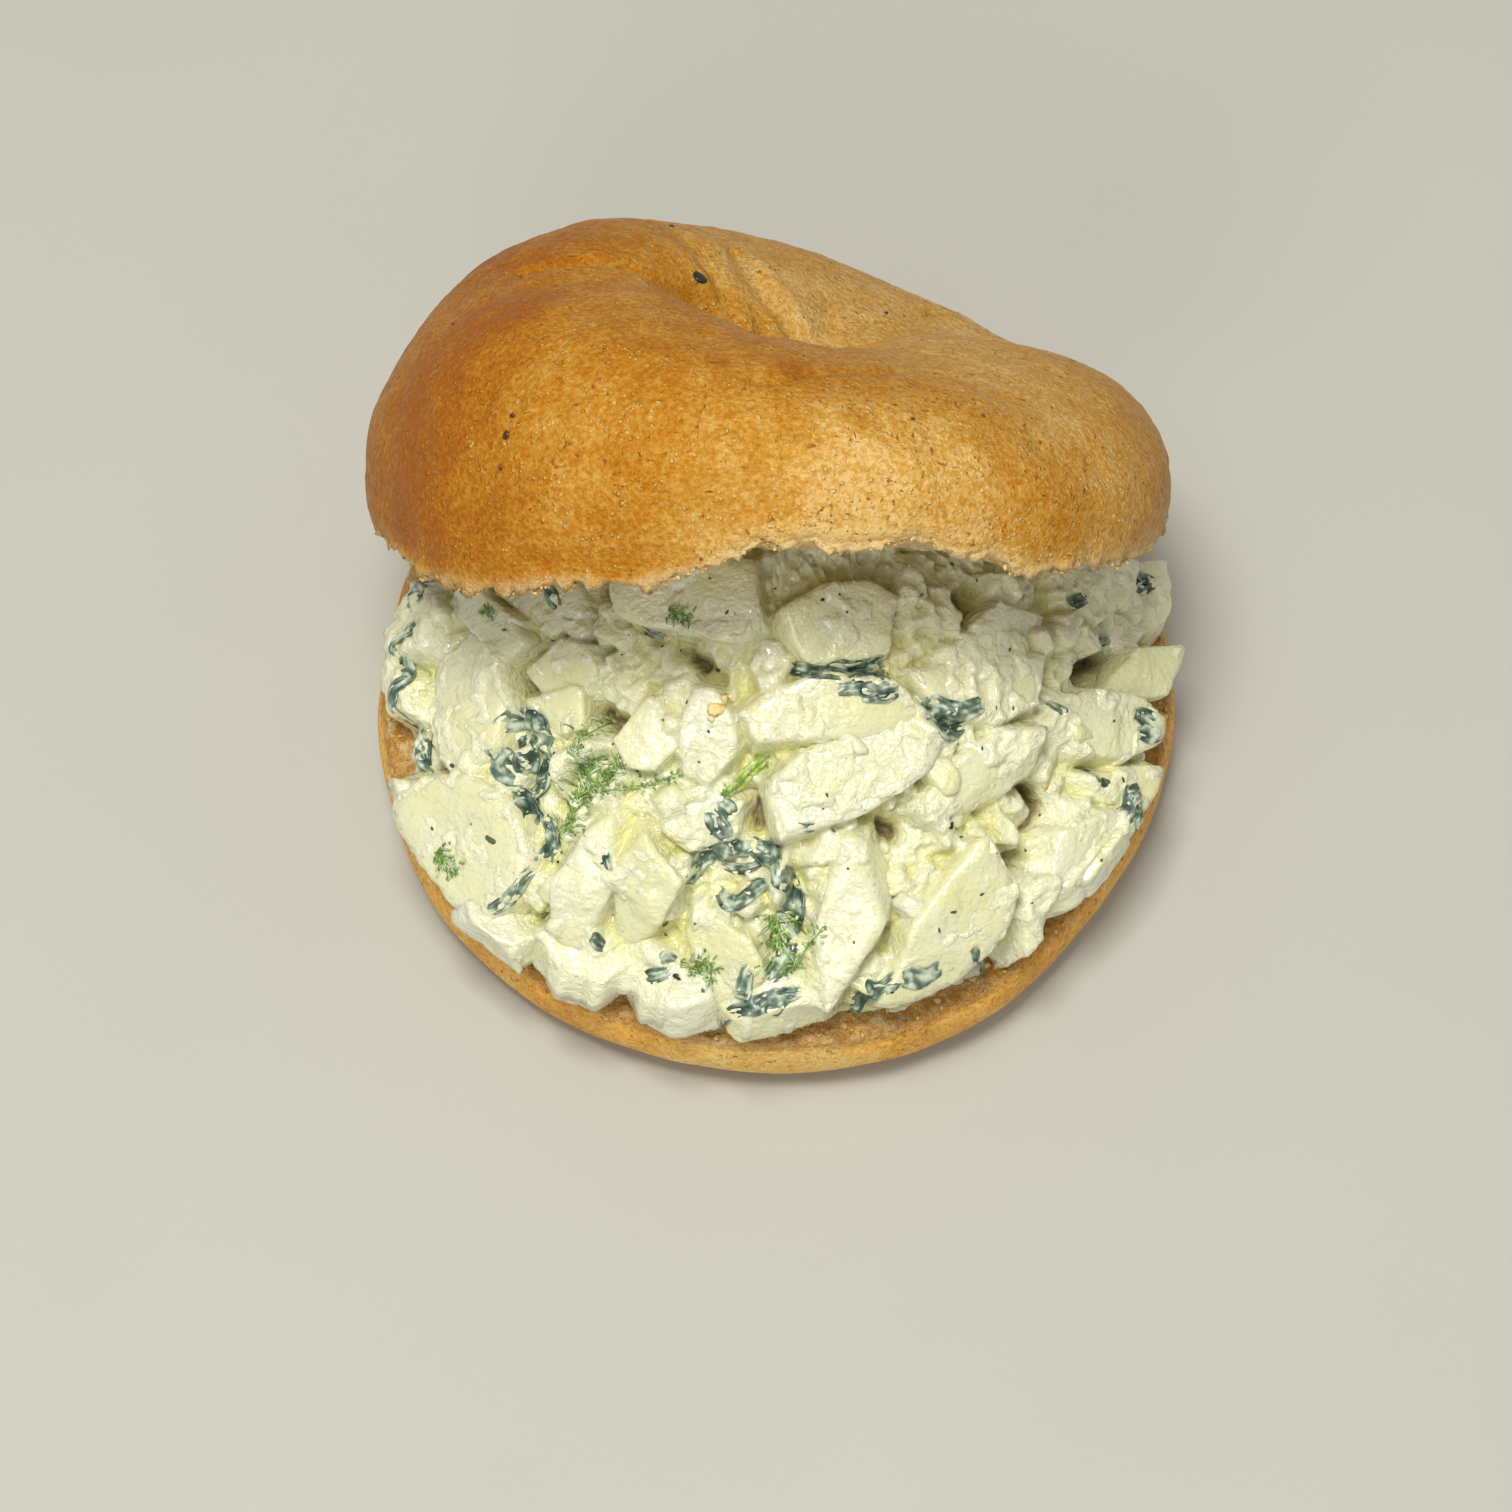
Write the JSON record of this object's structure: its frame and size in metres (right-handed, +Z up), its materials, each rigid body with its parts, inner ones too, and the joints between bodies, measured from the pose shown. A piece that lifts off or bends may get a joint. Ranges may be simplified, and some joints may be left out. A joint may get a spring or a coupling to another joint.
{
  "type": "egg salad sandwich",
  "caption": "Open egg salad sandwich on a cut bagel, its domed upper half leaning back on a heap of creamy chopped egg with green herbs.",
  "frame": {"origin": "on the surface the sandwich lies on, under the middle of its box", "axes": "+Z up, +X to the right and +Y to the back, seen from the open side where the salad shows"},
  "size_m": [0.116, 0.1214, 0.1015],
  "materials": {
    "lower_crust": "baked crust, satin",
    "salad": "moist cream and egg, soft gloss",
    "upper_crust": "baked crust, satin"
  },
  "bodies": {
    "root": {"bagel_bottom": "lower_crust", "egg_salad": "salad", "bagel_top": "upper_crust"}
  },
  "joints": []
}
